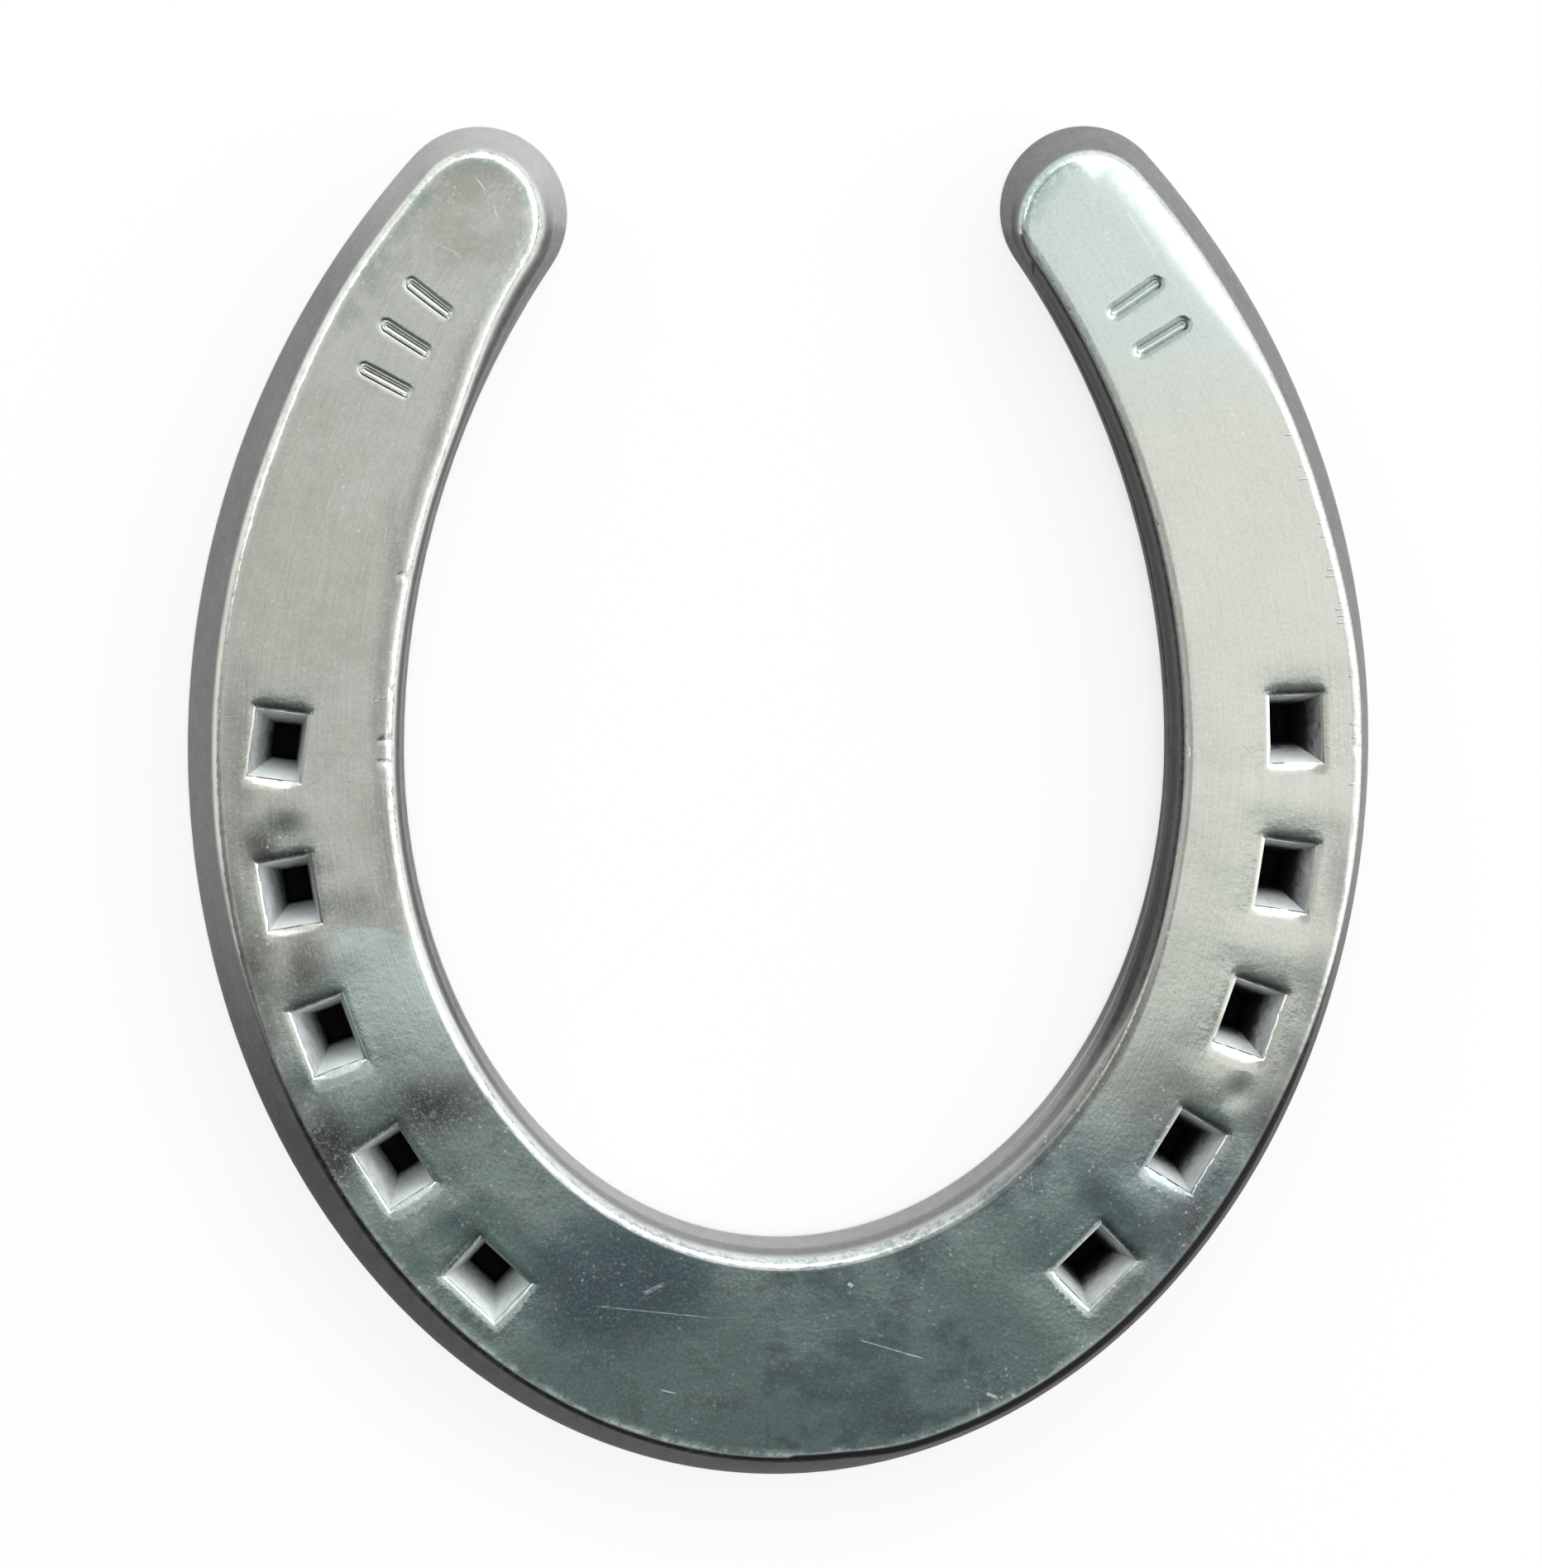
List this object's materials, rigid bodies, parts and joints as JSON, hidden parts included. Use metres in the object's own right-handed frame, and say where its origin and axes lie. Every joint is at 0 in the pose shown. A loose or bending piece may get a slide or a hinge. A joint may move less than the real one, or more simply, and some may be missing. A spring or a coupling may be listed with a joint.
{
  "type": "horseshoe",
  "caption": "Light-metal horseshoe with a broad web, rounded heels, sloping walls and a row of tapered square nail holes in each branch.",
  "frame": {"origin": "middle of the shoe's length and width, on the plane of the hoof side", "axes": "+Z from the hoof side up to the ground side, +Y from the toe to the heels, +X across to the right"},
  "size_m": [0.1296, 0.148, 0.01],
  "materials": {
    "shoe_metal": "bare forged metal, brushed along the branches and worn smooth"
  },
  "bodies": {
    "root": {"shoe": "shoe_metal"}
  },
  "joints": []
}
